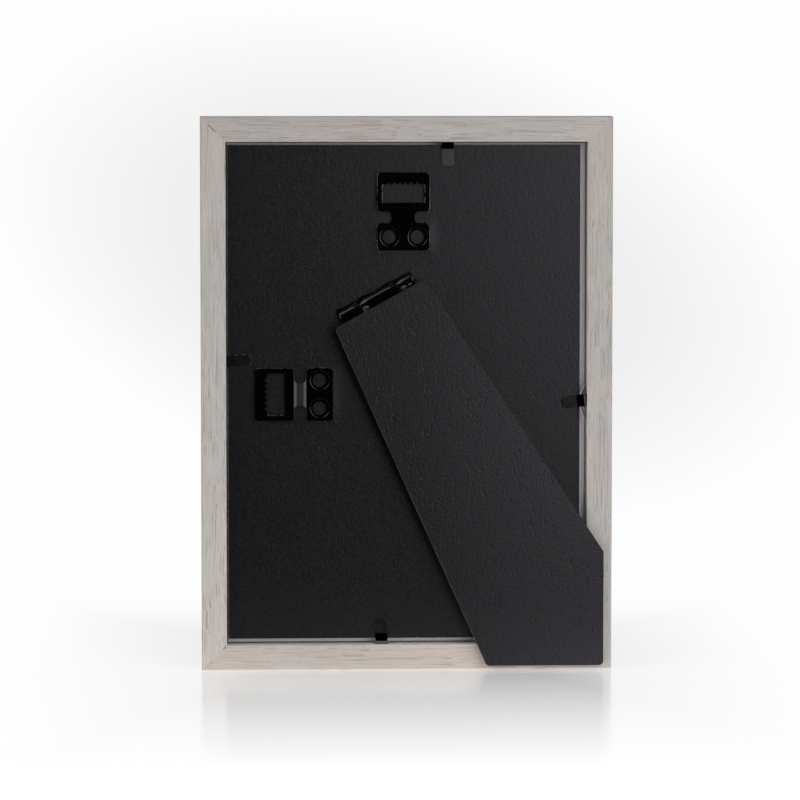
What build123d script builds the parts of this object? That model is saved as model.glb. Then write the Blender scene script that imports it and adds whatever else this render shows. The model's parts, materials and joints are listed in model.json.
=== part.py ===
from build123d import *

import os
from math import atan2, cos, degrees, radians, sin, tan

# Easel back photo frame for a 13 x 18 cm picture, standing upright with its strut folded flat.
# Millimetres and degrees. +X is right as seen from behind, +Z is up and the back faces -Y.
# The origin is the middle of the bottom rail's underside.
# Heights called face or back are measured from the rails' mid plane towards the back.

# Picture and moulding
picture_width = 127.0
picture_height = 178.0
rabbet_play = 1.0
rail_back_width = 9.0
lip_overlap = 5.0
lip_thickness = 4.5
rail_edge_radius = 0.7
lip_edge_radius = 1.2

# Layers in the rabbet, and the play that each has on every side
glass_thickness = 2.0
insert_thickness = 0.5
board_thickness = 2.6
paper_thickness = 0.25
glazing_play = 0.5
panel_play = 1.6
panel_shift = 0.85
panel_rise = 0.35
glass_edge = 0.3

# Flexible tabs that hold the back in
tab_width = 4.4
tab_sheet = 0.5
tab_reach = 8.9
tab_knee = 2.7
tab_lead = 0.6
tab_corner = 1.3
tab_bend_gap = 0.05
tab_shank_depth = 6.0
tab_height_share = 0.5
top_tab_offset = 14.65
bottom_tab_offset = -9.1
left_tab_offset = 12.0
right_tab_offset = -2.4
right_tab_tilt = 6.5

# Sawtooth hangers and the eyelets that hold them
hanger_sheet = 0.7
hanger_width = 19.0
hanger_loop_length = 13.8
hanger_neck_length = 4.3
hanger_neck_width = 8.0
hanger_plate_length = 9.7
hanger_corner = 1.4
hanger_neck_fillet = 1.6
hanger_step_run = 0.9
hanger_bend_radius = 0.6
hanger_lift = 0.8
hanger_edge_gap = 9.7
portrait_hanger_offset = -0.3
landscape_hanger_offset = -0.45
window_width = 15.0
window_height = 6.5
window_floor = 3.0
window_corner = 0.45
window_shoulder = 0.4
tooth_count = 6
tooth_pitch = 2.05
tooth_depth = 1.2
eyelet_spacing = 10.0
eyelet_bore = 5.0
eyelet_wall = 0.4
eyelet_flange = 7.3
eyelet_rise = 0.55
eyelet_lip_share = 0.4
eyelet_dish_share = 0.7
eyelet_dish_rise_share = 0.55
eyelet_bite_share = 0.75

# Strut hinge
hinge_length = 28.9
hinge_sheet = 0.8
pin_diameter = 2.2
pin_overhang = 0.4
pin_chamfer = 0.3
outer_knuckle = 5.7
strut_knuckle = 2.7
strut_knuckle_trim = 0.25
knuckle_end_play = 0.1
leaf_length = 16.0
leaf_corner = 2.0
leaf_clearance = 0.35
curl_end_angle = 25.0
open_angle = 30.0
stop_dip = 25.0
stop_gap = 0.03
hinge_offset = -10.05
hinge_drop = 16.8
rivet_spacing = 18.0
rivet_seat = 10.0
rivet_shank = 2.4
rivet_head = 4.6
rivet_head_rise = 0.6
rivet_tail = 3.6
rivet_tail_depth = 0.6

# Strut
strut_thickness = 2.8
strut_clearance = 0.3
strut_top_width = 36.4
strut_lean = 28.7
strut_flare = 4.6
strut_foot_gap = 1.6
strut_side_gap = 3.2
strut_corner = 1.5

# Fits
running_play = 0.05
cut_overrun = 1.0

# Sizes worked out from those above
rabbet_width = picture_width + 2 * rabbet_play
rabbet_height = picture_height + 2 * rabbet_play
outer_width = rabbet_width + 2 * rail_back_width
outer_height = rabbet_height + 2 * rail_back_width
middle_height = outer_height / 2
bore_radius = pin_diameter / 2 + running_play
knuckle_radius = bore_radius + hinge_sheet
barrel_diameter = 2 * knuckle_radius
panel_recess = barrel_diameter - strut_clearance
panel_stack = board_thickness + paper_thickness
frame_depth = lip_thickness + glass_thickness + insert_thickness + panel_stack + panel_recess
rail_back = frame_depth / 2
panel_face = rail_back - panel_recess
board_face = panel_face - paper_thickness
insert_face = board_face - board_thickness
glass_face = insert_face - insert_thickness
lip_face = glass_face - glass_thickness
panel_width = rabbet_width - 2 * panel_play
panel_height = rabbet_height - 2 * panel_play
glazing_width = rabbet_width - 2 * glazing_play
glazing_height = rabbet_height - 2 * glazing_play

# The rear plane: x to the right and y up as seen from behind, z out of the back
rear = Plane(origin=(0, 0, 0), x_dir=(1, 0, 0), z_dir=(0, -1, 0))
rear_direction = rear.z_dir
panel_centre = Vector(-panel_shift, middle_height + panel_rise)
panel_origin = rear.offset(panel_face).from_local_coords(panel_centre)
panel_seat = Plane(panel_origin, x_dir=rear.x_dir, z_dir=rear_direction)

os.makedirs("parts", exist_ok=True)


def save(builder, name):
    """Label a finished piece and write it to its own file."""
    builder.part.label = name
    export_step(builder.part, f"parts/{name}.step")


def turned(plane, angle):
    """The plane turned by an angle about its own normal."""
    return Plane(plane * Rotation(0, 0, angle))


# Tab planes: the origin is on the rabbet wall, x points into the opening and z out of the back
tab_height = panel_recess * tab_height_share
tab_drop = tab_height - tab_sheet / 2
tab_level = rear.offset(panel_face + tab_height)


def tab_plane(wall_x, wall_z, inward, tilt=0.0):
    """The plane of one tab, turned by its tilt in the plane of the back."""
    origin = tab_level.from_local_coords(Vector(wall_x, wall_z))
    return turned(Plane(origin, x_dir=inward, z_dir=rear_direction), tilt)


half_rabbet_width = rabbet_width / 2
half_rabbet_height = rabbet_height / 2
tab_planes = {
    "top": tab_plane(top_tab_offset, middle_height + half_rabbet_height, (0, 0, -1)),
    "bottom": tab_plane(bottom_tab_offset, middle_height - half_rabbet_height, (0, 0, 1)),
    "left": tab_plane(-half_rabbet_width, middle_height + left_tab_offset, (1, 0, 0)),
    "right": tab_plane(half_rabbet_width, middle_height + right_tab_offset, (-1, 0, 0), right_tab_tilt),
}


# Four mitred rails of one rabbeted moulding, each with the slot that its tab is driven into
def make_rail(side, corner, inward, length):
    """One rail, drawn as its section at a corner and cut to a mitre at both ends."""
    along = inward.cross(rear_direction)
    section = Plane(corner, x_dir=inward, z_dir=along)
    far_corner = corner + along * length
    lip_width = rail_back_width + lip_overlap
    with BuildPart() as rail:
        with BuildSketch(section):
            with BuildLine():
                Polyline(
                    (0, -rail_back),
                    (0, rail_back),
                    (rail_back_width, rail_back),
                    (rail_back_width, lip_face),
                    (lip_width, lip_face),
                    (lip_width, -rail_back),
                    close=True,
                )
            make_face()
            fillet(vertices().group_by(Axis.X)[0], rail_edge_radius)
            fillet(vertices().group_by(Axis.X)[-1].sort_by(Axis.Y)[0], lip_edge_radius)
        extrude(amount=length)
        split(bisect_by=Plane(corner, z_dir=along - inward), keep=Keep.TOP)
        split(bisect_by=Plane(far_corner, z_dir=-along - inward), keep=Keep.TOP)
        with BuildSketch(tab_planes[side]):
            with Locations((-tab_shank_depth, 0)):
                Rectangle(tab_shank_depth + cut_overrun, tab_width, align=(Align.MIN, Align.CENTER))
        extrude(amount=tab_sheet / 2, both=True, mode=Mode.SUBTRACT)
    save(rail, f"rail_{side}")


half_width = outer_width / 2
make_rail("bottom", Vector(-half_width, 0, 0), Vector(0, 0, 1), outer_width)
make_rail("right", Vector(half_width, 0, 0), Vector(-1, 0, 0), outer_height)
make_rail("top", Vector(half_width, 0, outer_height), Vector(0, 0, -1), outer_width)
make_rail("left", Vector(-half_width, 0, outer_height), Vector(1, 0, 0), outer_height)


# Tab shanks: the buried halves of the four tabs, standing a little proud of the rabbet wall
shank_proud = tab_lead - tab_sheet / 2 - tab_bend_gap
with BuildPart() as shanks:
    for plane in tab_planes.values():
        with BuildSketch(plane):
            with Locations((-tab_shank_depth, 0)):
                Rectangle(tab_shank_depth + shank_proud, tab_width, align=(Align.MIN, Align.CENTER))
        extrude(amount=tab_sheet / 2, both=True)
save(shanks, "tab_shanks")


# Tab leaves: from the bend at the wall down a slope, then flat on the back
def make_tab(side, plane):
    """The leaf of one tab, with a round root on its bend line and round tip corners."""
    side_view = Plane(plane.origin, x_dir=plane.x_dir, z_dir=-plane.y_dir)
    with BuildPart() as leaf:
        with BuildSketch(side_view):
            with BuildLine():
                Polyline((tab_lead, 0), (tab_knee, -tab_drop), (tab_reach - tab_sheet / 2, -tab_drop))
                offset(amount=tab_sheet / 2)
            make_face()
        extrude(amount=tab_width / 2, both=True)
        with BuildSketch(plane):
            Rectangle(tab_reach, tab_width, align=(Align.MIN, Align.CENTER))
            fillet(vertices().group_by(Axis.X)[-1], tab_corner)
        extrude(amount=tab_height + tab_sheet, both=True, mode=Mode.INTERSECT)
    save(leaf, f"tab_{side}")


for side, plane in tab_planes.items():
    make_tab(side, plane)


# Glass and the paper insert behind it
with BuildPart() as glass:
    with BuildSketch(rear.offset(lip_face)):
        with Locations((0, middle_height)):
            Rectangle(glazing_width, glazing_height)
    extrude(amount=glass_thickness)
    chamfer(glass.edges().filter_by(Axis.Y), glass_edge)
save(glass, "glass_pane")

with BuildPart() as insert:
    with BuildSketch(rear.offset(glass_face)):
        with Locations((0, middle_height)):
            Rectangle(glazing_width, glazing_height)
    extrude(amount=insert_thickness)
save(insert, "picture_insert")


# Places on the back: the hinge line, a drop below the upper hanger's foot, and the two hanger frames
hanger_length = hanger_loop_length + hanger_neck_length + hanger_plate_length
hinge_rise = panel_height / 2 - hanger_edge_gap - hanger_length - hinge_drop
hinge_centre = panel_seat.from_local_coords(Vector(hinge_offset, hinge_rise))
hinge_seat = turned(Plane(hinge_centre, x_dir=rear.x_dir, z_dir=rear_direction), strut_lean)
hinge_along = hinge_seat.x_dir
strut_down = -hinge_seat.y_dir
panel_section = Plane(hinge_seat.origin, x_dir=strut_down, z_dir=-hinge_along)
strut_section = Plane(hinge_seat.offset(barrel_diameter).origin, x_dir=strut_down, z_dir=hinge_along)
rivet_spots = [(-rivet_spacing / 2, -rivet_seat), (rivet_spacing / 2, -rivet_seat)]

portrait_seat = Plane(
    panel_seat.from_local_coords(Vector(portrait_hanger_offset, panel_height / 2 - hanger_edge_gap)),
    x_dir=(1, 0, 0),
    z_dir=rear_direction,
)
landscape_seat = Plane(
    panel_seat.from_local_coords(Vector(hanger_edge_gap - panel_width / 2, landscape_hanger_offset)),
    x_dir=(0, 0, 1),
    z_dir=rear_direction,
)
hanger_seats = {"portrait": portrait_seat, "landscape": landscape_seat}
eyelet_drop = hanger_length - hanger_plate_length / 2
eyelet_spots = [(-eyelet_spacing / 2, -eyelet_drop), (eyelet_spacing / 2, -eyelet_drop)]
eyelet_tube_radius = eyelet_bore / 2 + eyelet_wall
eyelet_bite = paper_thickness + board_thickness * eyelet_bite_share
slug_radius = eyelet_bore / 2 - running_play
rivet_tail_angle = 2 * degrees(atan2((rivet_tail - rivet_shank) / 2, rivet_tail_depth))
groove_radius = eyelet_tube_radius + running_play

# Back board, with a blind ring groove for each eyelet and countersunk holes for the hinge rivets
with BuildPart() as board:
    with BuildSketch(panel_seat.offset(-paper_thickness)):
        Rectangle(panel_width, panel_height)
    extrude(amount=-board_thickness)
    for seat in hanger_seats.values():
        with BuildSketch(seat):
            with Locations(*eyelet_spots):
                Circle(groove_radius)
                Circle(slug_radius, mode=Mode.SUBTRACT)
        extrude(amount=-eyelet_bite - running_play, mode=Mode.SUBTRACT)
    with Locations(hinge_seat.offset(-panel_stack) * Rotation(180, 0, 0)):
        with Locations(*[(x, -y) for x, y in rivet_spots]):
            CounterSinkHole(
                radius=rivet_shank / 2 + running_play,
                counter_sink_radius=rivet_tail / 2 + running_play,
                counter_sink_angle=rivet_tail_angle,
                depth=panel_stack,
            )
save(board, "back_board")

# Embossed cover paper on the back board, pierced by the eyelets and rivets
with BuildPart() as cover:
    with BuildSketch(panel_seat):
        Rectangle(panel_width, panel_height)
    extrude(amount=-paper_thickness)
    for seat in hanger_seats.values():
        with BuildSketch(seat):
            with Locations(*eyelet_spots):
                Circle(groove_radius)
                Circle(slug_radius, mode=Mode.SUBTRACT)
        extrude(amount=-paper_thickness, mode=Mode.SUBTRACT)
    with BuildSketch(hinge_seat):
        with Locations(*rivet_spots):
            Circle(rivet_shank / 2 + running_play)
    extrude(amount=-paper_thickness, mode=Mode.SUBTRACT)
save(cover, "back_cover_paper")


# Sawtooth hangers: a riveted plate, a neck joggled in two steps and a raised loop with teeth along its bar
def make_hanger(name, seat):
    """One stamped hanger, with the origin of its seat at the middle of the loop's outer edge."""
    side_view = Plane(seat.origin, x_dir=seat.y_dir, z_dir=seat.x_dir)
    neck_top = -hanger_loop_length
    neck_foot = neck_top - hanger_neck_length
    upper_step = neck_top - hanger_step_run
    lower_step = neck_foot + hanger_step_run
    mid_lift = hanger_lift / 2
    window_base = neck_top + window_floor
    tooth_line = window_base + window_height
    with BuildPart() as hanger:
        with BuildSketch(side_view):
            with BuildLine():
                Polyline(
                    (0, hanger_lift),
                    (neck_top, hanger_lift),
                    (upper_step, mid_lift),
                    (lower_step, mid_lift),
                    (neck_foot, 0),
                    (-hanger_length, 0),
                    (-hanger_length, hanger_sheet),
                    (neck_foot, hanger_sheet),
                    (lower_step, mid_lift + hanger_sheet),
                    (upper_step, mid_lift + hanger_sheet),
                    (neck_top, hanger_lift + hanger_sheet),
                    (0, hanger_lift + hanger_sheet),
                    close=True,
                )
            make_face()
            bends = vertices().filter_by(lambda v: -hanger_length < v.X < 0)
            fillet(bends, hanger_bend_radius)
        extrude(amount=hanger_width / 2, both=True)
        with BuildSketch(seat):
            Rectangle(hanger_width, hanger_loop_length, align=(Align.CENTER, Align.MAX))
            with Locations((0, neck_top)):
                Rectangle(hanger_neck_width, hanger_neck_length, align=(Align.CENTER, Align.MAX))
            with Locations((0, neck_foot)):
                Rectangle(hanger_width, hanger_plate_length, align=(Align.CENTER, Align.MAX))
            outer = vertices().filter_by(lambda v: abs(v.X) > (hanger_width + hanger_neck_width) / 4)
            fillet(outer, hanger_corner)
            inner = vertices().filter_by(lambda v: abs(v.X) <= hanger_neck_width / 2 + running_play)
            fillet(inner, hanger_neck_fillet)
        extrude(amount=hanger_lift + 2 * hanger_sheet, mode=Mode.INTERSECT)
        with BuildSketch(seat):
            with Locations((0, window_base)):
                Rectangle(window_width, window_height, align=(Align.CENTER, Align.MIN))
            chamfer(vertices().group_by(Axis.Y)[-1], window_shoulder)
            fillet(vertices().group_by(Axis.Y)[0], window_corner)
            with Locations((0, tooth_line)):
                with GridLocations(tooth_pitch, 0, tooth_count, 1):
                    Polygon((-tooth_pitch / 2, 0), (tooth_pitch / 2, 0), (0, tooth_depth), align=None)
            with Locations(*eyelet_spots):
                Circle(groove_radius)
        extrude(amount=hanger_lift + 2 * hanger_sheet, mode=Mode.SUBTRACT)
    save(hanger, f"hanger_{name}")


# Eyelets: a dished flange on the hanger's plate and a tube that bites into the board
def make_eyelets(name, seat):
    """The pair of eyelets of one hanger."""
    bore = eyelet_bore / 2
    flange = eyelet_flange / 2
    dish = bore + (flange - bore) * eyelet_dish_share
    lip = (bore, hanger_sheet + eyelet_rise * eyelet_lip_share)
    with BuildPart() as eyelets:
        for spot in eyelet_spots:
            centre = seat.from_local_coords(Vector(*spot))
            with BuildSketch(Plane(centre, x_dir=seat.x_dir, z_dir=-seat.y_dir)):
                with BuildLine():
                    Polyline(
                        lip,
                        (dish, hanger_sheet + eyelet_rise * eyelet_dish_rise_share),
                        (flange, hanger_sheet + eyelet_rise),
                        (flange, hanger_sheet),
                        (eyelet_tube_radius, hanger_sheet),
                        (eyelet_tube_radius, -eyelet_bite),
                        (bore, -eyelet_bite),
                        close=True,
                    )
                make_face()
            revolve(axis=Axis(centre, rear_direction))
    save(eyelets, f"eyelets_{name}")


for name, seat in hanger_seats.items():
    make_hanger(name, seat)
    make_eyelets(name, seat)


# Hinge leaves: knuckles curled from the sheet round the pin, and a plate with two rivet holes
def make_leaf(name, section, spans, curl_radius, stop_reach=0.0):
    """One hinge leaf. The section has x down the leaf and y from the leaf to the pin."""
    plate_start = knuckle_radius + leaf_clearance
    far = 2 * knuckle_radius
    with BuildPart() as leaf:
        for start, end in spans:
            with BuildSketch(section.offset(start)):
                with Locations((0, knuckle_radius)):
                    Circle(curl_radius)
                    Circle(bore_radius, mode=Mode.SUBTRACT)
                with BuildLine():
                    seam_top = knuckle_radius - far * tan(radians(curl_end_angle))
                    Polyline((0, knuckle_radius), (0, -far), (far, -far), (far, seam_top), close=True)
                make_face(mode=Mode.SUBTRACT)
                Rectangle(plate_start + hinge_sheet, hinge_sheet, align=(Align.MIN, Align.MIN))
                if stop_reach:
                    with Locations((0, knuckle_radius)):
                        stop_side = (Align.MAX, Align.CENTER)
                        Rectangle(stop_reach, hinge_sheet, rotation=-stop_dip, align=stop_side)
                        Circle(bore_radius, mode=Mode.SUBTRACT)
            extrude(amount=end - start)
        plan = Plane(section.origin, x_dir=section.z_dir, z_dir=section.y_dir)
        with BuildSketch(plan):
            with Locations((0, plate_start)):
                Rectangle(hinge_length, leaf_length - plate_start, align=(Align.CENTER, Align.MIN))
            fillet(vertices().group_by(Axis.Y)[-1], leaf_corner)
        extrude(amount=hinge_sheet)
        with BuildSketch(plan):
            with Locations((rivet_spacing / 2, rivet_seat), (-rivet_spacing / 2, rivet_seat)):
                Circle(rivet_shank / 2 + running_play)
        extrude(amount=hinge_sheet, mode=Mode.SUBTRACT)
    save(leaf, name)


# Rivets: a low coned head on the leaf and a tail spread into a countersink in the board
def make_rivets(name, section, depth):
    """The pair of rivets of one hinge leaf."""
    shank = rivet_shank / 2
    head = rivet_head / 2
    tail = rivet_tail / 2
    with BuildPart() as rivets:
        for side in (-rivet_spacing / 2, rivet_spacing / 2):
            centre = section.from_local_coords(Vector(rivet_seat, 0, side))
            with BuildSketch(Plane(centre, x_dir=section.x_dir, z_dir=section.z_dir)):
                with BuildLine():
                    Polyline(
                        (0, hinge_sheet + rivet_head_rise),
                        (head, hinge_sheet),
                        (shank, hinge_sheet),
                        (shank, rivet_tail_depth - depth),
                        (tail, -depth),
                        (0, -depth),
                        close=True,
                    )
                make_face()
            revolve(axis=Axis(centre, section.y_dir))
    save(rivets, name)


half_hinge = hinge_length / 2
inner_edge = half_hinge - outer_knuckle
gap_edge = inner_edge - strut_knuckle
panel_spans = [(-half_hinge, -inner_edge), (-gap_edge, gap_edge), (inner_edge, half_hinge)]
strut_spans = [
    (-inner_edge + knuckle_end_play, -gap_edge - knuckle_end_play),
    (gap_edge + knuckle_end_play, inner_edge - knuckle_end_play),
]
stop_turn = radians(open_angle + stop_dip)
stop_reach = (knuckle_radius - stop_gap - hinge_sheet / 2 * cos(stop_turn)) / sin(stop_turn)
make_leaf("hinge_leaf_panel", panel_section, panel_spans, knuckle_radius)
make_leaf("hinge_leaf_strut", strut_section, strut_spans, knuckle_radius - strut_knuckle_trim, stop_reach)
make_rivets("rivets_panel_leaf", panel_section, panel_stack)
make_rivets("rivets_strut_leaf", strut_section, strut_thickness)

# Hinge pin, a plain wire with eased ends
pin_axis = hinge_seat.offset(knuckle_radius)
with BuildPart() as pin:
    with BuildSketch(Plane(pin_axis.origin, x_dir=strut_down, z_dir=hinge_along)):
        Circle(pin_diameter / 2)
    extrude(amount=half_hinge + pin_overhang, both=True)
    chamfer(pin.edges().filter_by(GeomType.CIRCLE), pin_chamfer)
save(pin, "hinge_pin")

# Strut outline: two flaring sides and two feet, one for each way up
strut_plane = hinge_seat.offset(barrel_diameter)
top_drop = knuckle_radius + leaf_clearance
top_left = strut_plane.from_local_coords(Vector(-strut_top_width / 2, -top_drop))
top_right = strut_plane.from_local_coords(Vector(strut_top_width / 2, -top_drop))
foot_x = half_width - strut_side_gap
foot_z = strut_foot_gap
left_slope = tan(radians(strut_lean - strut_flare))
right_slope = tan(radians(strut_lean + strut_flare))
strut_outline = [
    (top_left.X, top_left.Z),
    (top_right.X, top_right.Z),
    (foot_x, top_right.Z - (foot_x - top_right.X) / right_slope),
    (foot_x, foot_z),
    (top_left.X + (top_left.Z - foot_z) * left_slope, foot_z),
]
strut_inner = panel_face + barrel_diameter
strut_outer = strut_inner + strut_thickness

with BuildPart() as strut:
    with BuildSketch(rear.offset(strut_inner)):
        Polygon(*strut_outline, align=None)
        fillet(vertices(), strut_corner)
    extrude(amount=strut_thickness)
    with Locations(strut_plane.offset(strut_thickness)):
        with Locations(*rivet_spots):
            CounterSinkHole(
                radius=rivet_shank / 2 + running_play,
                counter_sink_radius=rivet_tail / 2 + running_play,
                counter_sink_angle=rivet_tail_angle,
                depth=strut_thickness,
            )
save(strut, "strut_board")

with BuildPart() as strut_cover:
    with BuildSketch(rear.offset(strut_outer)):
        Polygon(*strut_outline, align=None)
        fillet(vertices(), strut_corner)
    extrude(amount=paper_thickness)
save(strut_cover, "strut_cover_paper")

print("outer size", outer_width, outer_height, "depth", round(frame_depth, 3))
print("hinge axis point", tuple(round(v, 4) for v in pin_axis.origin))
print("hinge opening axis", tuple(round(v, 6) for v in -hinge_along))
for side, plane in tab_planes.items():
    bend = plane.from_local_coords(Vector(tab_lead, 0, 0))
    print("tab", side, tuple(round(v, 4) for v in bend), tuple(round(v, 6) for v in -plane.y_dir))
for name, seat in hanger_seats.items():
    print("hanger", name, tuple(round(v, 4) for v in seat.origin))
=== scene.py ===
# %% [markdown]
# An easel back photo frame, seen from behind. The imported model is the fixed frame: every piece of it
# keeps its place and size, and this lesson gives it the finish of the real one. Pieces whose stamped or
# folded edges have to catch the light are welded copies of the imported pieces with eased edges, and the
# rest keep their meshes and get better materials.

# %% Load the frame
import json
from math import hypot, pi, radians

import bmesh
import bpy
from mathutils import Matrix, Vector


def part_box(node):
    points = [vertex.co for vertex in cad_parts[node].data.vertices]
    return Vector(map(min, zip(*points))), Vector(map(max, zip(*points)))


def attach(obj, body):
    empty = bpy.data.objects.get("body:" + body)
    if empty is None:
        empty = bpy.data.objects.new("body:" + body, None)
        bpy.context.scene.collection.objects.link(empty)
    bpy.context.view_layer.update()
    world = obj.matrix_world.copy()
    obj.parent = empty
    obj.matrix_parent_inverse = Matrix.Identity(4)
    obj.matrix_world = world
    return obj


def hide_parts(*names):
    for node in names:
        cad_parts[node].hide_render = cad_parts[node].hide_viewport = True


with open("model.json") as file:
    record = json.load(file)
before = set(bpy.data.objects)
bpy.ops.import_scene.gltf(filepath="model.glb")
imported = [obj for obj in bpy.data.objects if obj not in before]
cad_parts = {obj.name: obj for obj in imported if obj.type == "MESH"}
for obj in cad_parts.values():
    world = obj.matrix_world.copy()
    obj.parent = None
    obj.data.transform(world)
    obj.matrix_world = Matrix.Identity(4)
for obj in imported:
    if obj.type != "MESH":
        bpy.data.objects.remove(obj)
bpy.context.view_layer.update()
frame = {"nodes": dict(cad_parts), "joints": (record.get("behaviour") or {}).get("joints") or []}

MM = 0.001


def joint_line(name):
    """The place and the axis of a joint."""
    joint = next(item for item in frame["joints"] if item["name"] == name)
    return Vector(joint["pos_m"]), Vector(joint["axis"])


# %% [markdown]
# The camera stands where the photographer stood: about a metre and a half behind the frame, a little
# above it and a little to its left, with a long lens. The place and turn were solved from the four outer
# corners of the frame's back, so the picture lines up without any shift of the lens.

# %% Camera
CAMERA_PLACE = Vector((-64.4, -1503.5, 219.2)) * MM
CAMERA_YAW = radians(2.368)
CAMERA_PITCH = radians(-4.664)
SENSOR_WIDTH = 36.0
LENS = 189.5

scene = bpy.context.scene
camera_data = bpy.data.cameras.new("camera")
camera_data.sensor_fit = "HORIZONTAL"
camera_data.sensor_width = SENSOR_WIDTH
camera_data.lens = LENS
camera = bpy.data.objects.new("camera", camera_data)
camera.location = CAMERA_PLACE
camera.rotation_euler = (pi / 2 + CAMERA_PITCH, 0.0, -CAMERA_YAW)
scene.collection.objects.link(camera)
scene.camera = camera
scene.view_settings.view_transform = "Standard"
print("camera at", [round(value, 4) for value in camera.location], "lens", camera_data.lens)

# %% [markdown]
# Materials are node trees, and most nodes are added the same way: pick a kind, set a few settings, then
# feed each input a number or a link. A few small helpers do that, so a material reads as a list of its
# nodes.

# %% Node helpers
NOISE_SPAN = (0.3, 0.7)


def feed(tree, node, inputs):
    """Give inputs of a node a value, or a link from another socket."""
    for key, value in inputs.items():
        if isinstance(value, bpy.types.NodeSocket):
            tree.links.new(value, node.inputs[key])
        else:
            node.inputs[key].default_value = value


def add(tree, kind, settings=None, inputs=None):
    """Add a node, set its settings and feed its inputs."""
    made = tree.nodes.new(kind)
    for key, value in (settings or {}).items():
        setattr(made, key, value)
    feed(tree, made, inputs or {})
    return made


def math(tree, operation, first, second=0.0):
    """One sum on two values, each a number or a socket."""
    return add(tree, "ShaderNodeMath", {"operation": operation}, {0: first, 1: second}).outputs[0]


def times(tree, first, *others):
    """The product of values, each a number or a socket."""
    for other in others:
        first = math(tree, "MULTIPLY", first, other)
    return first


def vectors(tree, operation, first, second=(0.0, 0.0, 0.0)):
    """One sum on two vectors, as the outputs of its node."""
    return add(tree, "ShaderNodeVectorMath", {"operation": operation}, {0: first, 1: second}).outputs


def offsets(tree, places, centre, directions):
    """How far places are from a centre, along each direction."""
    away = vectors(tree, "SUBTRACT", places, centre)[0]
    return [vectors(tree, "DOT_PRODUCT", away, direction)["Value"] for direction in directions]


def squared_reach(tree, places, centre, directions):
    """The squared distance of places from a centre, in shares of two directions."""
    return math(tree, "ADD", *(times(tree, part, part) for part in offsets(tree, places, centre, directions)))


def separate(tree, places):
    """The X, Y and Z of places."""
    return add(tree, "ShaderNodeSeparateXYZ", None, {0: places}).outputs


def noise(tree, places, scale, detail):
    """Noise on places, as the outputs of its node."""
    inputs = {"Vector": places, "Scale": scale, "Detail": detail}
    return add(tree, "ShaderNodeTexNoise", None, inputs).outputs


def mix_colour(tree, factor, first, second):
    """A colour between two others."""
    made = add(tree, "ShaderNodeMix", {"data_type": "RGBA"}, {0: factor, 6: first, 7: second})
    return made.outputs[2]


def mix_shader(tree, factor, first, second):
    """A shader between two others."""
    return add(tree, "ShaderNodeMixShader", None, {0: factor, 1: first, 2: second}).outputs[0]


def ramp(tree, value, from_low, from_high, to_low, to_high, style="SMOOTHSTEP"):
    """A value moved from one range to another, smoothly or in a straight line."""
    settings = {"interpolation_type": style}
    inputs = {0: value, 1: from_low, 2: from_high, 3: to_low, 4: to_high}
    return add(tree, "ShaderNodeMapRange", settings, inputs).outputs[0]


def relief(tree, height, strength, distance):
    """The normal of a surface that has a height."""
    inputs = {"Height": height, "Strength": strength, "Distance": distance}
    return add(tree, "ShaderNodeBump", None, inputs).outputs[0]


def turned(tree, places, turn):
    """Places turned so that marks run along another axis."""
    return add(tree, "ShaderNodeMapping", None, {"Vector": places, "Rotation": turn}).outputs[0]


# The attribute holds real wear on some pieces, and a painted highlight or a painted shade on others.
def read_wear_and_light(tree):
    """The attribute 'worn', which the eased copies carry."""
    return add(tree, "ShaderNodeAttribute", {"attribute_name": "wear_and_light"}).outputs["Fac"]


def add_sockets(tree, way, kind, *labels):
    """Give a node group named inputs or outputs of one kind."""
    for label in labels:
        tree.interface.new_socket(label, in_out=way, socket_type=f"NodeSocket{kind}")


def start_group(name, numbers, masks):
    """A shader group that turns places and named numbers into masks: its tree, given values and end."""
    tree = bpy.data.node_groups.new(name, "ShaderNodeTree")
    add_sockets(tree, "INPUT", "Vector", "Vector")
    add_sockets(tree, "INPUT", "Float", *numbers)
    add_sockets(tree, "OUTPUT", "Float", *masks)
    return tree, tree.nodes.new("NodeGroupInput").outputs, tree.nodes.new("NodeGroupOutput")


def use_group(tree, group, places, numbers):
    """A shader group on places, with its numbers for one use, as the outputs of its node."""
    return add(tree, "ShaderNodeGroup", {"node_tree": group}, {"Vector": places, **numbers}).outputs


def start_material(name, roughness, base=(0.5, 0.5, 0.5, 1.0)):
    """A material with its tree, its shader, and places on the piece."""
    material = bpy.data.materials.new(name)
    material.use_nodes = True
    tree = material.node_tree
    shader = tree.nodes["Principled BSDF"]
    feed(tree, shader, {"Base Color": base, "Roughness": roughness})
    places = add(tree, "ShaderNodeTexCoord").outputs["Object"]
    return material, tree, shader, places


print("node helpers ready")

# %% [markdown]
# The stage is a white studio: a wide pale table with a faint gloss, near white all round as the camera
# sees it, and two large soft lamps in front of the frame's back, one high on the left and a nearer one on
# the right. The table throws light back up, which is why the foot of the frame is lighter than its top.
# The room behind the camera is dark, so black lacquer that faces the camera stays black and only its
# bends catch the lamps. Light Path sorts the rays: camera rays see the table fade into white in front and
# behind, reflections see the white backdrop but neither the room nor the front of the table, and diffuse
# light gets a plain grey fill.

# %% Table
TABLE_SIZE = 1.0
TABLE_COLOUR = (0.86, 0.86, 0.855, 1.0)
TABLE_ROUGHNESS = 0.14
TABLE_SMEAR = 0.02
TABLE_GLOW = 0.19
TABLE_BOUNCE = 0.95
BOUNCE_SPAN = (0.12, 0.38)
UNLIT_SPAN = (-0.14, -0.04)
FRONT_SPAN = (-0.215, -0.015)
BEHIND_SPAN = (0.02, 0.20)
SIDE_SPAN = (0.045, 0.135)
BACKDROP = 0.982
WHITE = (1.0, 1.0, 1.0, 1.0)
BLACK = (0.0, 0.0, 0.0, 1.0)


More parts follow.
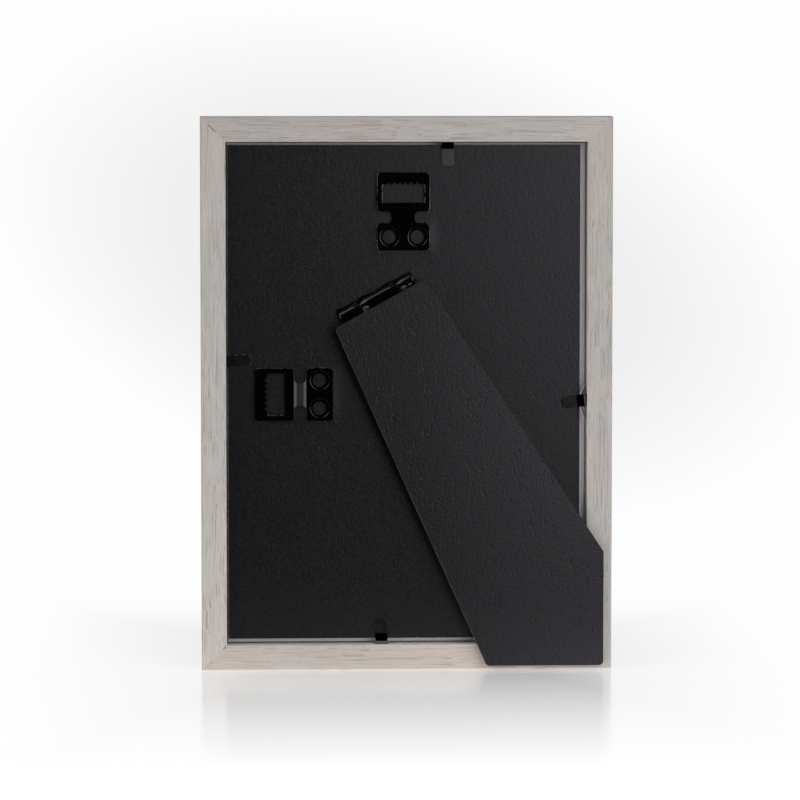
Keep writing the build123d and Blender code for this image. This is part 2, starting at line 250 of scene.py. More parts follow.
def make_table():
    """The pale table top that the frame stands on, with a slight gloss."""
    mesh = bpy.data.meshes.new("table_top")
    half = TABLE_SIZE / 2
    corners = [(-half, -half, 0), (half, -half, 0), (half, half, 0), (-half, half, 0)]
    mesh.from_pydata(corners, [], [(0, 1, 2, 3)])
    table = bpy.data.objects.new("table_top", mesh)
    scene.collection.objects.link(table)
    material, tree, shader, places = start_material("table_top", TABLE_ROUGHNESS, TABLE_COLOUR)
    path = add(tree, "ShaderNodeLightPath").outputs
    seen = path["Is Camera Ray"]
    smooth, rough = TABLE_ROUGHNESS - TABLE_SMEAR, TABLE_ROUGHNESS + TABLE_SMEAR
    distance = vectors(tree, "LENGTH", places)["Value"]
    near = ramp(tree, distance, *BOUNCE_SPAN, TABLE_BOUNCE, 0.0)
    bounce = times(tree, near, path["Is Diffuse Ray"])
    feed(tree, shader, {
        "Roughness": ramp(tree, noise(tree, places, 3.0, 2.0)[0], *NOISE_SPAN, smooth, rough),
        "Emission Color": WHITE,
        "Emission Strength": math(tree, "ADD", times(tree, seen, TABLE_GLOW), bounce),
    })
    place = separate(tree, places)
    unlit = add(tree, "ShaderNodeEmission", None, {"Strength": 0.0}).outputs[0]
    hidden = times(tree, ramp(tree, place["Y"], *UNLIT_SPAN, 1.0, 0.0), path["Is Glossy Ray"])
    real = mix_shader(tree, hidden, shader.outputs[0], unlit)
    fade_front = ramp(tree, place["Y"], *FRONT_SPAN, 1.0, 0.0, "LINEAR")
    fade_behind = ramp(tree, place["Y"], *BEHIND_SPAN, 0.0, 1.0)
    fade_side = ramp(tree, math(tree, "ABSOLUTE", place["X"]), *SIDE_SPAN, 0.0, 1.0, "LINEAR")
    fade = math(tree, "MAXIMUM", fade_side, math(tree, "MAXIMUM", fade_front, fade_behind))
    level = ramp(tree, fade_front, 0.0, 1.0, BACKDROP, 1.0, "LINEAR")
    bright = add(tree, "ShaderNodeEmission", None, {"Color": WHITE, "Strength": level}).outputs[0]
    mixed = mix_shader(tree, times(tree, fade, seen), real, bright)
    feed(tree, tree.nodes["Material Output"], {"Surface": mixed})
    mesh.materials.append(material)
    return table


table_top = make_table()
print("table", table_top.name)

# %% World and lamps
FILL_LEVEL = 0.14
ROOM_LEVEL = 0.005
ROOM_SPAN = (-0.35, 0.15)
SHADE_MIDDLE = Vector((0.0, 0.0, 0.145))
SHADE_WIDTH = 0.0928
SHADE_HEIGHT = 0.0547
SHADE_TILT = 0.195
SHADE_SPAN = (0.60, 1.05)
SHADE_LEVEL = 0.863
LAMP_AIM = Vector((0.0, 0.0, 0.1))
LAMPS = {
    "lamp_right": {"place": (0.40, -0.52, 0.29), "power": 3.4, "size": 0.70},
    "lamp_left": {"place": (-0.61, -0.38, 0.64), "power": 2.9, "size": 0.65},
}


def make_world():
    """White with a soft shade for the camera, a dark front for reflections, grey for diffuse light."""
    world = bpy.data.worlds.new("studio")
    scene.world = world
    world.use_nodes = True
    tree = world.node_tree
    tree.nodes.clear()
    path = add(tree, "ShaderNodeLightPath").outputs
    direction = add(tree, "ShaderNodeTexCoord").outputs["Generated"]
    backdrop = ramp(tree, separate(tree, direction)["Y"], *ROOM_SPAN, ROOM_LEVEL, 1.0)
    seen = math(tree, "MAXIMUM", path["Is Camera Ray"], path["Is Transmission Ray"])
    mirrored = times(tree, backdrop, path["Is Glossy Ray"])
    aim = (SHADE_MIDDLE - CAMERA_PLACE).normalized()
    sides = (Vector((1.0, 0.0, 0.0)) / SHADE_WIDTH, Vector((SHADE_TILT, 0.0, 1.0)) / SHADE_HEIGHT)
    away = math(tree, "SQRT", squared_reach(tree, direction, aim, sides))
    wall = ramp(tree, away, *SHADE_SPAN, SHADE_LEVEL, BACKDROP, "LINEAR")
    shown = math(tree, "MAXIMUM", times(tree, seen, wall), mirrored)
    special = math(tree, "MAXIMUM", seen, path["Is Glossy Ray"])
    plain = times(tree, math(tree, "SUBTRACT", 1.0, special), FILL_LEVEL)
    inputs = {"Color": WHITE, "Strength": math(tree, "ADD", shown, plain)}
    light = add(tree, "ShaderNodeBackground", None, inputs).outputs[0]
    add(tree, "ShaderNodeOutputWorld", None, {"Surface": light})


def make_lamp(name, place, power, size):
    """One soft square lamp that points at the frame."""
    lamp_data = bpy.data.lights.new(name, "AREA")
    lamp_data.energy = power
    lamp_data.size = size
    lamp = bpy.data.objects.new(name, lamp_data)
    lamp.location = place
    lamp.rotation_euler = (LAMP_AIM - Vector(place)).to_track_quat("-Z", "Y").to_euler()
    scene.collection.objects.link(lamp)


make_world()
for name, values in LAMPS.items():
    make_lamp(name, **values)
print("stage ready with", len(LAMPS), "lamps")

# %% [markdown]
# Two effects are used by several finishes, so each is a shader node group. Stretched marks are noise that
# is pulled out along one direction: as soft streaks they are wood grain or drawn wire, and above a
# threshold they are short dashes, such as pores or the creases of an embossed paper. The edge mask reads
# the attribute that the eased copies carry on their rounded edges, which stands for real wear on some
# pieces and for a painted highlight on others, and breaks it up with noise, as handling does to wear.


# %% Shader groups
def make_marks_group():
    """Noise stretched along X, as streaks from 0 to 1 and as sparse dashes."""
    numbers = ("Length", "Width", "Threshold", "Softness")
    tree, given, result = start_group("stretched_marks", numbers, ("Streak", "Dash"))
    along = math(tree, "DIVIDE", 1.0, given["Length"])
    across = math(tree, "DIVIDE", 1.0, given["Width"])
    scale = add(tree, "ShaderNodeCombineXYZ", None, {0: along, 1: across, 2: across}).outputs[0]
    cloud = noise(tree, vectors(tree, "MULTIPLY", given["Vector"], scale)[0], 1.0, 2.5)[0]
    low = given["Threshold"]
    high = math(tree, "ADD", low, given["Softness"])
    streak = ramp(tree, cloud, 0.25, 0.75, 0.0, 1.0)
    feed(tree, result, {"Streak": streak, "Dash": ramp(tree, cloud, low, high, 0.0, 1.0)})
    return tree


def make_wear_and_light_group():
    """A broken mask on the edges that the attribute 'worn' marks."""
    tree, given, result = start_group("wear_and_light_edges", ("Amount",), ("Mask",))
    broken = ramp(tree, noise(tree, given["Vector"], 900.0, 3.0)[0], 0.42, 0.62, 0.0, 1.0)
    feed(tree, result, {"Mask": times(tree, read_wear_and_light(tree), broken, given["Amount"])})
    return tree


marks_group = make_marks_group()
wear_and_light_group = make_wear_and_light_group()


def marks(tree, places, length, width, threshold=0.6, softness=0.08):
    """Stretched marks on places, as the outputs Streak and Dash."""
    numbers = {"Length": length, "Width": width, "Threshold": threshold, "Softness": softness}
    return use_group(tree, marks_group, places, numbers)


def wear_and_light_mask(tree, places, amount):
    """The mask of marked edges on places: real wear on some pieces, a painted highlight on others."""
    return use_group(tree, wear_and_light_group, places, {"Amount": amount})["Mask"]


print("shader groups", marks_group.name, wear_and_light_group.name)

# %% [markdown]
# The rails are fibre board wrapped in a printed foil: a pale greige wood look with soft streaks that
# drift from cool to rosy, tan bands, long thin dark lines and fine pores. The print runs along each rail,
# so upright and level rails have the pattern turned. Where the foil bends over the inner edge it carries a
# painted highlight, and along its other edges a painted shade. Each rail's foil has a darkening colour
# too: a painted shade on the top and right rails, and on the bottom rail a brown one that gives it a
# warmer tone and a little painted shade. The foil stops inside the rabbet, where the raw board shows,
# rougher, with a painted shade at the top and painted light at the bottom and right. At two corners the
# mitre has opened a hair, and a glue line shows there as a short dark stroke. A print's marks are given
# by length and width, and dashes by a threshold and a softness too.

# %% Rail finishes
FOIL_COOL = (0.442, 0.441, 0.418, 1.0)
FOIL_WARM = (0.505, 0.438, 0.416, 1.0)
FOIL_TAN = (0.490, 0.375, 0.285, 1.0)
# Pore colour, also the painted shade along the rails' eased edges.
FOIL_PORE_AND_SHADE = (0.150, 0.130, 0.115, 1.0)
FOIL_BRIGHT = (0.590, 0.550, 0.525, 1.0)
# Fleck colour, also the painted highlight on the rails' inner edge.
FOIL_FLECK_AND_HIGHLIGHT = (0.640, 0.620, 0.590, 1.0)
FOIL_BROWN = (0.360, 0.270, 0.200, 1.0)
FOIL_WAVE = 1.5 * MM
FOIL_DEPTH = 0.06 * MM
FOIL_STREAKS = {"broad": (60 * MM, 2.6 * MM), "fine": (26 * MM, 0.5 * MM)}
FOIL_DASHES = {
    "tan": (55 * MM, 1.5 * MM, 0.55, 0.14),
    "pores": (11 * MM, 0.22 * MM, 0.58, 0.06),
    "lines": (34 * MM, 0.26 * MM, 0.59, 0.05),
    "flecks": (7 * MM, 0.34 * MM, 0.64, 0.06),
}
BOARD_FIBRES = (1.6 * MM, 0.30 * MM)
BOARD_DEPTH = 0.08 * MM
GRAIN_ALONG_Z = (0.0, pi / 2, 0.0)
GRAIN_ALONG_X = (0.0, 0.0, 0.0)
LEFT_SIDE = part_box("rail_left")[0].x
RAIL_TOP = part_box("rail_top")[1].z
GLUE_DARK = (0.060, 0.052, 0.045, 1.0)
GLUE_SPAN = (0.10 * MM, 0.28 * MM)
GLUE_TAPER = 0.8 * MM
GLUE_LINES = (
    {"Corner": RAIL_TOP, "Slope": 1.0, "Start": 2.6 * MM, "End": 5.8 * MM},
    {"Corner": 0.0, "Slope": -1.0, "Start": 7.2 * MM, "End": 9.2 * MM},
)


def make_glue_group():
    """A thin stroke along a mitre of the left rail: corner height, slope, and where it starts and ends."""
    tree, given, result = start_group("glue_line", ("Corner", "Slope", "Start", "End"), ("Mask",))
    place = separate(tree, given["Vector"])
    inward = math(tree, "SUBTRACT", place["X"], LEFT_SIDE)
    rise = times(tree, math(tree, "SUBTRACT", place["Z"], given["Corner"]), given["Slope"])
    off = math(tree, "ABSOLUTE", math(tree, "ADD", inward, rise))
    line = ramp(tree, off, *GLUE_SPAN, 1.0, 0.0)
    after = ramp(tree, math(tree, "SUBTRACT", inward, given["Start"]), 0.0, GLUE_TAPER, 0.0, 1.0)
    before = ramp(tree, math(tree, "SUBTRACT", given["End"], inward), 0.0, GLUE_TAPER, 0.0, 1.0)
    feed(tree, result, {"Mask": times(tree, line, after, before)})
    return tree


glue_group = make_glue_group()


def make_foil(name, turn, warmth, shade_and_tone_veil, share):
    """The wood-look foil: its grain's turn, its share of the warmer print, and a darkening colour with its
    share (a painted shade on the top and right rails, a warmer tone with a little painted shade on the bottom
    rail).
    """
    material, tree, shader, places = start_material(name, 0.5)
    wave = {0: noise(tree, places, 60.0, 1.0)["Color"], 1: (FOIL_WAVE,) * 3, 2: places}
    waved = add(tree, "ShaderNodeVectorMath", {"operation": "MULTIPLY_ADD"}, wave).outputs[0]
    grain = turned(tree, waved, turn)
    broad, fine = (marks(tree, grain, *size)["Streak"] for size in FOIL_STREAKS.values())
    dashes = {key: marks(tree, grain, *size)["Dash"] for key, size in FOIL_DASHES.items()}
    patch = ramp(tree, noise(tree, places, 38.0, 1.0)[0], *NOISE_SPAN, -0.3, 0.3)
    drift = math(tree, "ADD", times(tree, broad, 0.7), patch)
    tint = ramp(tree, math(tree, "ADD", drift, warmth - 0.35), 0.0, 1.0, 0.0, 1.0, "LINEAR")
    clusters = times(tree, dashes["pores"], ramp(tree, broad, 0.1, 0.8, 0.25, 0.70))
    dark = math(tree, "MAXIMUM", clusters, times(tree, dashes["lines"], 0.9))
    wear_and_light = read_wear_and_light(tree)
    layers = (
        (times(tree, fine, 0.45), FOIL_BRIGHT),
        (times(tree, dashes["tan"], 0.34), FOIL_TAN),
        (times(tree, dashes["flecks"], 0.55), FOIL_FLECK_AND_HIGHLIGHT),
        (times(tree, dark, 0.58), FOIL_PORE_AND_SHADE),
        # Each rail's darkening colour: painted shade on the top and right, warmer tone and a little painted
        # shade on the bottom.
        (share, shade_and_tone_veil),
        # The rounded inner edge gets a painted highlight, and the other eased edges a painted shade.
        (times(tree, wear_and_light, 0.75), FOIL_FLECK_AND_HIGHLIGHT),
        (times(tree, wear_and_light, -0.7), FOIL_PORE_AND_SHADE),
        *((use_group(tree, glue_group, places, line)["Mask"], GLUE_DARK) for line in GLUE_LINES),
    )
    colour = mix_colour(tree, tint, FOIL_COOL, FOIL_WARM)
    for mask, shade in layers:
        colour = mix_colour(tree, mask, colour, shade)
    height = math(tree, "SUBTRACT", times(tree, fine, 0.3), dark)
    feed(tree, shader, {
        "Base Color": colour,
        "Roughness": ramp(tree, fine, 0.0, 1.0, 0.44, 0.56),
        "Normal": relief(tree, height, 0.4, FOIL_DEPTH),
    })
    return material


def make_raw_board(name, pale, dark):
    """Pressed fibre board: short fibres in two shades."""
    material, tree, shader, places = start_material(name, 0.82)
    fibres = marks(tree, places, *BOARD_FIBRES)["Streak"]
    specks = noise(tree, places, 1500.0, 2.0)[0]
    shade = times(tree, math(tree, "ADD", fibres, specks), 0.5)
    colour = mix_colour(tree, shade, dark, pale)
    feed(tree, shader, {"Base Color": colour, "Normal": relief(tree, shade, 0.35, BOARD_DEPTH)})
    return material


# The top and right rails get a painted shade, and the bottom rail a brown one for a warmer tone with a little
# painted shade.
foils = {
    "top": make_foil("foil_top", GRAIN_ALONG_X, 0.60, BLACK, 0.10),
    "bottom": make_foil("foil_bottom", GRAIN_ALONG_X, 0.80, FOIL_BROWN, 0.24),
    "left": make_foil("foil_left", GRAIN_ALONG_Z, 0.50, BLACK, 0.0),
    "right": make_foil("foil_right", GRAIN_ALONG_Z, 0.50, BLACK, 0.14),
}
# The rabbet's raw board in shades set by the light: painted shade in the top rabbet, painted light in the
# bottom and right ones.
dull_board = make_raw_board("dull_board", (0.34, 0.32, 0.31, 1.0), (0.23, 0.21, 0.20, 1.0))
rabbet_board = make_raw_board("rabbet_board", (0.55, 0.52, 0.51, 1.0), (0.38, 0.35, 0.34, 1.0))
lit_pale_board = make_raw_board("lit_pale_board", (0.76, 0.72, 0.72, 1.0), (0.54, 0.50, 0.50, 1.0))
# Near-black board: inked on the back board and the strut's core, and a painted shadow in the splits behind
# the flakes.
inked_and_shadow_board = make_raw_board("inked_and_shadow_board", (0.020, 0.019, 0.018, 1.0), (0.007, 0.007, 0.007, 1.0))
rabbet_boards_by_light = {"top": dull_board, "bottom": lit_pale_board, "left": rabbet_board, "right": lit_pale_board}
print("rail finishes", [foil.name for foil in foils.values()], "and", len(set(rabbet_boards_by_light.values())), "boards")

# %% [markdown]
# The back board and the strut are covered in black paper with a pressed leather grain: small pebbles, and
# here and there a short upright crease. The paper is almost black; what shows is a satin sheen that grows
# towards the stronger lamp, so the colour stays very dark, and the relief and the roughness do the work.
# Along the barrel of the strut's hinge a painted shadow lies on the back's paper as a black band, smooth
# and glossy. The creases are painted a shade darker. The strut's board has bent a little over its width,
# which the relief adds as a slow fall to the right.

# %% Embossed paper
PAPER_BLACK = (0.0036, 0.0035, 0.0041, 1.0)
# Creases are painted this darker colour, as shade in them.
PAPER_CREASE_SHADE = (0.0015, 0.0015, 0.0017, 1.0)
PAPER_SHEEN = (0.97, 0.92, 1.0, 1.0)
# Painted highlight along the strut's long left edge.
PAPER_EDGE_HIGHLIGHT = (0.085, 0.084, 0.087, 1.0)
CREASE_MARKS = (2.6 * MM, 0.8 * MM, 0.60, 0.10)
PEBBLE_MARKS = (1.0 * MM, 0.9 * MM)
CLOUD_MARKS = (14 * MM, 9 * MM)
SATIN_SPREAD = 0.03
CREASE_GLOSS = 0.05
WORN_DULLNESS = 0.4
RELIEF_DEPTH = 0.12 * MM
# A painted shadow along the upper side of the hinge's barrel: black and glossy, with its wave, ends and
# sides.
SHADOW_BLACK = (0.0008, 0.0008, 0.0009, 1.0)
SHADOW_ROUGHNESS = 0.10
SHADOW_WAVE = 0.35 * MM
SHADOW_ENDS = (14.5 * MM, 15.7 * MM)
SHADOW_TOP = (-3.1 * MM, -2.0 * MM)
SHADOW_FOOT = (1.5 * MM, 2.3 * MM)
STRUT_BEND = 11000.0
BEND_START = 1.0 * MM
hinge_point, hinge_axis = joint_line("strut_hinge")
hinge_along = -hinge_axis
hinge_down = Vector((hinge_along.z, 0.0, -hinge_along.x))


def barrel_shadow_mask(tree, places):
    """A soft band along the upper side of the hinge's barrel, where a shadow is painted."""
    along, down = offsets(tree, places, hinge_point, (hinge_along, hinge_down))
    wave = ramp(tree, noise(tree, places, 260.0, 1.0)[0], *NOISE_SPAN, -SHADOW_WAVE, SHADOW_WAVE)
    down = math(tree, "ADD", down, wave)
    inside = ramp(tree, math(tree, "ABSOLUTE", along), *SHADOW_ENDS, 1.0, 0.0)
    above = ramp(tree, down, *SHADOW_TOP, 0.0, 1.0)
    below = ramp(tree, down, *SHADOW_FOOT, 1.0, 0.0)
    return times(tree, inside, above, below)


def make_paper(name, crease, strength, satin, bend=0.0):
    """Black embossed paper, with more or less visible creases in a painted shade, a painted shadow along the
    hinge, and a slight bend.
    """
    material, tree, shader, places = start_material(name, satin)
    grain = turned(tree, places, GRAIN_ALONG_Z)
    pebbles = marks(tree, grain, *PEBBLE_MARKS)["Streak"]
    clouds = marks(tree, grain, *CLOUD_MARKS)["Streak"]
    creases = times(tree, marks(tree, grain, *CREASE_MARKS)["Dash"], clouds, crease)
    barrel_shadow = barrel_shadow_mask(tree, places)
    clear = math(tree, "SUBTRACT", 1.0, barrel_shadow)
    grained = times(tree, math(tree, "SUBTRACT", times(tree, pebbles, 0.5), creases), clear)
    beyond = math(tree, "SUBTRACT", separate(tree, places)["X"], BEND_START)
    beyond = math(tree, "MAXIMUM", beyond, 0.0)
    height = math(tree, "SUBTRACT", grained, times(tree, beyond, beyond, bend))
    wear_and_light = read_wear_and_light(tree)
    edge_highlight = times(tree, wear_and_light, ramp(tree, clouds, 0.0, 1.0, 0.6, 1.0))
    # Painted shade in the creases.
    colour = mix_colour(tree, creases, PAPER_BLACK, PAPER_CREASE_SHADE)
    # A painted highlight on the strut's left edge.
    colour = mix_colour(tree, edge_highlight, colour, PAPER_EDGE_HIGHLIGHT)
    dull = ramp(tree, pebbles, 0.0, 1.0, satin - SATIN_SPREAD, satin + SATIN_SPREAD)
    dull = math(tree, "SUBTRACT", dull, times(tree, creases, CREASE_GLOSS))
    dull = math(tree, "SUBTRACT", dull, times(tree, math(tree, "MINIMUM", wear_and_light, 0.0), WORN_DULLNESS))
    feed(tree, shader, {
        # The painted shadow along the hinge's barrel is black.
        "Base Color": mix_colour(tree, barrel_shadow, colour, SHADOW_BLACK),
        "Roughness": ramp(tree, clear, 0.0, 1.0, SHADOW_ROUGHNESS, dull, "LINEAR"),
        "Specular Tint": PAPER_SHEEN,
        "Normal": relief(tree, height, strength, RELIEF_DEPTH),
    })
    return material


panel_paper = make_paper("panel_paper", 0.8, 0.33, 0.36)
strut_paper = make_paper("strut_paper", 1.3, 0.54, 0.39, STRUT_BEND)
print("papers", panel_paper.name, strut_paper.name)

# %% [markdown]
# The metal parts are stamped steel. Hangers, eyelets and hinge leaves are dipped in black gloss lacquer,
# which pools a little and shows a faint orange peel; the hangers' long edges that catch the light carry
# a painted highlight, and three small pale spots on the barrel of the hinge are painted highlights. The
# tabs are soft spring steel, blackened and satin, bare along their edges, with a painted shade at their
# roots. Their shades differ: the top tab is painted lighter as it catches the light, and the left tab's
# upper edge and end carry a painted highlight. Next to the wall, a dull grey strip is painted on the roots
# of the bottom and right tabs, standing in for the wall's board in shade. The hinge pin is drawn wire,
# streaked along its length.

# %% Metal finishes
LACQUER = (0.0006, 0.0006, 0.0007, 1.0)
# Pale grey on marked edges: a painted highlight on the hangers, faint wear on the hinge leaves.
LACQUER_WEAR_AND_HIGHLIGHT = (0.110, 0.110, 0.110, 1.0)
LACQUER_ROUGHNESS = 0.10
LACQUER_SPREAD = 0.03
PEEL_DEPTH = 0.05 * MM
# Painted highlights on the hinge's barrel: pale metallic spots, their share, drop and squat.
SPOT_HIGHLIGHT = (0.30, 0.30, 0.29, 1.0)
SPOT_SHARE = 0.3
SPOT_DROP = 1.55 * MM
SPOT_SQUAT = 0.58
GLINT_SPOTS = ((-5.3 * MM, 1.6 * MM), (10.3 * MM, 1.3 * MM), (12.9 * MM, 0.8 * MM))
# Bare steel on the tabs' edges, and a painted highlight on the left tab's upper edge and end.
BARE_STEEL_AND_HIGHLIGHT = (0.16, 0.16, 0.155, 1.0)
STAIN_DEPTH = 0.04 * MM
# A dull grey strip painted on the roots of the bottom and right tabs, standing for the wall's board in shade.
WALL_SHADE_GREY = (0.105, 0.096, 0.093, 1.0)
WALL_SHADE_ENDS = {"bottom": 0.60 * MM, "right": 0.40 * MM}
WALL_SHADE_FADE = 0.2 * MM
# Painted shade at each tab's root: how dark, and where its fade starts and ends.
ROOT_SHADE = {
    "top": (1.0, 1.85 * MM, 2.0 * MM),
    "bottom": (1.0, 2.7 * MM, 3.6 * MM),
    "left": (0.55, 2.3 * MM, 2.4 * MM),
    "right": (1.0, 2.5 * MM, 3.3 * MM),
}
WIRE_DARK = (0.10, 0.10, 0.10, 1.0)
WIRE_PALE = (0.22, 0.22, 0.215, 1.0)
WIRE_MARKS = (9 * MM, 0.12 * MM)


def glint_mask(tree, places, spot):
    """A soft oval on the hinge's barrel where a highlight is painted, from its place along the barrel and its
    length.
    """
    place, length = spot
    centre = hinge_point + hinge_along * place + hinge_down * SPOT_DROP
    directions = (hinge_along / length, hinge_down / (SPOT_SQUAT * length))
    return ramp(tree, squared_reach(tree, places, centre, directions), 0.5, 1.3, 1.0, 0.0)


def make_lacquer(name, sheen, dull=0.0, spots=()):
    """Black lacquer on stamped steel, glossy or dulled, paler at its marked edges (faint wear on the hinge
    leaves, a painted highlight on the hangers), with painted highlights at given spots.
    """
    roughness = LACQUER_ROUGHNESS + dull
    material, tree, shader, places = start_material(name, roughness)
    peel = noise(tree, places, 700.0, 2.0)[0]
    # Marked edges turn pale: a painted highlight on the hangers, faint wear on the hinge leaves.
    colour = mix_colour(tree, wear_and_light_mask(tree, places, 2.5), LACQUER, LACQUER_WEAR_AND_HIGHLIGHT)
    rough = ramp(tree, peel, *NOISE_SPAN, roughness - LACQUER_SPREAD, roughness + LACQUER_SPREAD)
    # Painted highlights at the given spots on the barrel.
    if spots:
        glint = 0.0
        for spot in spots:
            glint = math(tree, "MAXIMUM", glint_mask(tree, places, spot), glint)
        colour = mix_colour(tree, glint, colour, SPOT_HIGHLIGHT)
        rough = math(tree, "ADD", rough, times(tree, glint, SPOT_SHARE))
        feed(tree, shader, {"Metallic": times(tree, glint, SPOT_SHARE)})
    feed(tree, shader, {
        "Base Color": colour,
        "Roughness": rough,
        "Specular IOR Level": sheen,
        "Normal": relief(tree, peel, 0.10, PEEL_DEPTH),
    })
    return material


def root_masks(tree, places, side):
    """The painted shade at the root of a tab, and the painted grey strip next to the wall that it comes out
    of, which stands for the wall's board in shade.
    """
    point, axis = joint_line(f"{side}_tab_bend")
    inward = axis.cross(Vector((0, 1, 0)))
    away = offsets(tree, places, point, (inward,))[0]
    share, start, end = ROOT_SHADE[side]
    root_shade = ramp(tree, away, start, end, share, 0.0)
    if side not in WALL_SHADE_ENDS:
        return root_shade, 0.0
    return root_shade, ramp(tree, away, WALL_SHADE_ENDS[side] - WALL_SHADE_FADE, WALL_SHADE_ENDS[side], 1.0, 0.0)


def make_blackened_steel(side, oxide_and_light, satin, bare_and_highlight, sheen):
    """Blackened soft steel with its own colour (painted lighter on the top tab), satin and sheen, edges of
    steel (a painted highlight on the left tab), a painted shade at its root and a painted grey strip by the
    wall.
    """
    material, tree, shader, places = start_material(f"tab_steel_{side}", satin)
    stain = noise(tree, places, 420.0, 4.0)[0]
    mask = math(tree, "MINIMUM", wear_and_light_mask(tree, places, bare_and_highlight), 1.0)
    # Painted shade at the root, and the painted grey strip by the wall.
    root_shade, wall_shade = root_masks(tree, places, side)
    colour = mix_colour(tree, root_shade, mix_colour(tree, mask, oxide_and_light, BARE_STEEL_AND_HIGHLIGHT), BLACK)
    metal = math(tree, "MAXIMUM", times(tree, mask, 0.4), root_shade)
    feed(tree, shader, {
        "Base Color": mix_colour(tree, wall_shade, colour, WALL_SHADE_GREY),
        "Metallic": times(tree, metal, math(tree, "SUBTRACT", 1.0, wall_shade)),
        "Roughness": ramp(tree, stain, *NOISE_SPAN, satin - 0.06, satin + 0.08),
        "Specular IOR Level": sheen,
        "Normal": relief(tree, stain, 0.12, STAIN_DEPTH),
    })
    return material


def make_wire():
    """Drawn wire, darkened, with streaks along the pin."""
    material, tree, shader, places = start_material("drawn_wire", 0.35)
    pin_turn = hinge_along.rotation_difference(Vector((1, 0, 0))).to_euler()
    streak = marks(tree, turned(tree, places, pin_turn), *WIRE_MARKS)["Streak"]
    feed(tree, shader, {
        "Base Color": mix_colour(tree, streak, WIRE_DARK, WIRE_PALE),
        "Roughness": ramp(tree, streak, 0.0, 1.0, 0.28, 0.42),
        "Metallic": 1.0,
    })
    return material


black_lacquer = make_lacquer("black_lacquer", 0.45)
neck_lacquer = make_lacquer("neck_lacquer", 0.36, 0.22)
strut_leaf_lacquer = make_lacquer("strut_leaf_lacquer", 0.10)
hinge_lacquer = make_lacquer("hinge_lacquer", 0.38, 0.05, GLINT_SPOTS)
# The top tab's colour is painted lighter as it catches the light; the left tab's edges carry a painted
# highlight.
tab_steel = {
    "top": make_blackened_steel("top", (0.0200, 0.0200, 0.0205, 1.0), 0.44, 0.2, 0.5),
    "bottom": make_blackened_steel("bottom", (0.0040, 0.0041, 0.0042, 1.0), 0.28, 0.3, 0.33),
    "left": make_blackened_steel("left", (0.0050, 0.0070, 0.0060, 1.0), 0.30, 3.0, 0.18),
    "right": make_blackened_steel("right", (0.0045, 0.0045, 0.0048, 1.0), 0.28, 0.2, 0.25),
}
drawn_wire = make_wire()
print("metals", black_lacquer.name, hinge_lacquer.name, drawn_wire.name, len(tab_steel), "tab shades")

# %% [markdown]
# The glass is clear float glass with a faint green cast and a few wiped smears, which show only in its
# gloss. The insert behind it is plain white card, the bare place for a picture, with a soft tooth of
# fibres.

# %% Glass and insert
GLASS_TINT = (0.93, 0.97, 0.95, 1.0)
GLASS_SMEARS = (30 * MM, 6 * MM)
CARD_DARK = (0.78, 0.775, 0.76, 1.0)
CARD_PALE = (0.84, 0.84, 0.83, 1.0)
CARD_FIBRES = (0.9 * MM, 0.25 * MM)
CARD_DEPTH = 0.03 * MM


def make_glass():
    """Clear glass with wiped smears in its gloss, which lets soft light through to the card."""
    material, tree, shader, places = start_material("float_glass", 0.02, GLASS_TINT)
    smears = marks(tree, places, *GLASS_SMEARS)["Streak"]
    rough = ramp(tree, smears, 0.3, 1.0, 0.01, 0.06)
    feed(tree, shader, {"Roughness": rough, "Transmission Weight": 1.0, "IOR": 1.5})
    path = add(tree, "ShaderNodeLightPath").outputs
    soft = math(tree, "MAXIMUM", path["Is Shadow Ray"], path["Is Diffuse Ray"])
    clear = add(tree, "ShaderNodeBsdfTransparent").outputs[0]
    mixed = mix_shader(tree, soft, shader.outputs[0], clear)
    feed(tree, tree.nodes["Material Output"], {"Surface": mixed})
    return material


def make_card():
    """White card with a fine tooth."""
    material, tree, shader, places = start_material("white_card", 0.8)
    fibres = marks(tree, places, *CARD_FIBRES)["Streak"]
    colour = mix_colour(tree, fibres, CARD_DARK, CARD_PALE)
    feed(tree, shader, {"Base Color": colour, "Normal": relief(tree, fibres, 0.15, CARD_DEPTH)})
    return material


clear_glass = make_glass()
white_card = make_card()
print("glass and insert", clear_glass.name, white_card.name)

# %% [markdown]
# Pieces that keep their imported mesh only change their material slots.

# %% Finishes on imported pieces
KEPT_FINISHES = {
    "glass_pane": clear_glass,
    "picture_insert": white_card,
    "back_board": inked_and_shadow_board,
    "tab_shanks": tab_steel["bottom"],
    "hinge_pin": drawn_wire,
    "rivets_panel_leaf": black_lacquer,
    "rivets_strut_leaf": black_lacquer,
}
for node, material in KEPT_FINISHES.items():
    mesh = frame["nodes"][node].data
    mesh.materials.clear()
    mesh.materials.append(material)
print("kept pieces", len(KEPT_FINISHES))

# %% [markdown]
# A imported mesh is loose triangles. To round its edges it is copied and welded, its flat triangles are
# joined into whole faces, and then only chosen sharp edges are bevelled. The faces that the bevel makes
# carry the attribute 'wear_and_light', which the finishes read, and a later bevel leaves them alone. It
# stands for real wear on some pieces, and for a painted highlight or a painted shade on others. Weighted
# normals keep the flats flat.

# %% Eased copies
WELD = 0.002 * MM
FLAT_ANGLE = radians(1.0)
SHARP_ANGLE = radians(32.0)


def welded_copy(node):
    """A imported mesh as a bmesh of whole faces, with an empty 'worn' attribute."""
    shape = bmesh.new()
    shape.from_mesh(frame["nodes"][node].data)
    bmesh.ops.remove_doubles(shape, verts=shape.verts, dist=WELD)
    bmesh.ops.dissolve_limit(shape, angle_limit=FLAT_ANGLE, verts=shape.verts, edges=shape.edges)
    shape.faces.layers.float.new("wear_and_light")
    return shape


